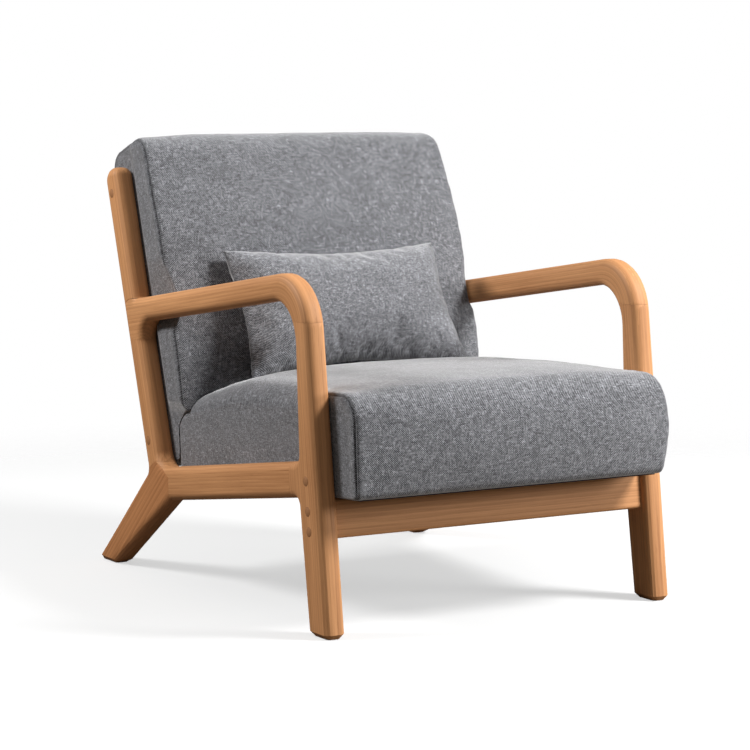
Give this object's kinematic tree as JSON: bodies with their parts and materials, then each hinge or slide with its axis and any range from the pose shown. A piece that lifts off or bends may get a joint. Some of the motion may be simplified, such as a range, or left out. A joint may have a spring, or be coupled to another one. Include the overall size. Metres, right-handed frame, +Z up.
{
  "type": "fireside chair",
  "caption": "Low upholstered chair: bent solid wood side frames with arms in one sweep, thick seat and back cushions, splayed back legs, loose lumbar pillow.",
  "frame": {"origin": "on the floor, under the middle of the bounding box", "axes": "+Z up, +Y towards the back of the chair, +X to the right of someone facing the back cushion from the front, so a sitter looks along -Y"},
  "size_m": [0.6632, 0.867, 0.7641],
  "materials": {
    "frame_wood": "satin oiled hardwood with fine straight grain",
    "leg_wood": "satin oiled hardwood, a darker stick",
    "plug_wood": "satin turned hardwood, end grain",
    "batten_wood": "sawn softwood, unfinished",
    "upholstery": "matt woven melange cloth",
    "sheet": "matt nonwoven dust cloth",
    "foam": "open-cell foam and fibre filling",
    "webbing": "woven elastic webbing",
    "zip": "matt nylon coil zip",
    "steel": "zinc-plated steel"
  },
  "bodies": {
    "frame": {"arm_left": "frame_wood", "arm_right": "frame_wood", "back_batten_bottom": "batten_wood", "back_batten_left": "batten_wood", "back_batten_right": "batten_wood", "back_batten_top": "batten_wood", "back_cover": "upholstery", "back_foam": "foam", "back_high_bolt_left": "steel", "back_high_bolt_right": "steel", "back_high_plug_left": "plug_wood", "back_high_plug_right": "plug_wood", "back_low_bolt_left": "steel", "back_low_bolt_right": "steel", "back_low_plug_left": "plug_wood", "back_low_plug_right": "plug_wood", "back_panel": "upholstery", "back_post_left": "frame_wood", "back_post_right": "frame_wood", "back_strap_1": "webbing", "back_strap_2": "webbing", "back_strap_3": "webbing", "back_strap_4": "webbing", "front_leg_left": "frame_wood", "front_leg_right": "frame_wood", "front_rail": "frame_wood", "front_rail_high_bolt_left": "steel", "front_rail_high_bolt_right": "steel", "front_rail_high_plug_left": "plug_wood", "front_rail_high_plug_right": "plug_wood", "front_rail_low_bolt_left": "steel", "front_rail_low_bolt_right": "steel", "front_rail_low_plug_left": "plug_wood", "front_rail_low_plug_right": "plug_wood", "rear_leg_left": "leg_wood", "rear_leg_right": "leg_wood", "rear_upright_left": "frame_wood", "rear_upright_right": "frame_wood", "seat_batten_front": "batten_wood", "seat_batten_left": "batten_wood", "seat_batten_rear": "batten_wood", "seat_batten_right": "batten_wood", "seat_bolt_left": "steel", "seat_bolt_right": "steel", "seat_cleat_left": "batten_wood", "seat_cleat_right": "batten_wood", "seat_cover": "upholstery", "seat_dust_sheet": "sheet", "seat_foam": "foam", "seat_plug_left": "plug_wood", "seat_plug_right": "plug_wood", "seat_strap_1": "webbing", "seat_strap_2": "webbing", "seat_strap_3": "webbing", "seat_strap_4": "webbing", "side_rail_left": "frame_wood", "side_rail_right": "frame_wood"},
    "lumbar_pillow": {"pillow_cover": "upholstery", "pillow_filling": "foam", "pillow_zip": "zip"}
  },
  "joints": [
    {"name": "pillow_lift", "type": "slide", "parent": "frame", "child": "lumbar_pillow", "axis": [0, 0, 1], "range_m": [0, 0.35]}
  ]
}
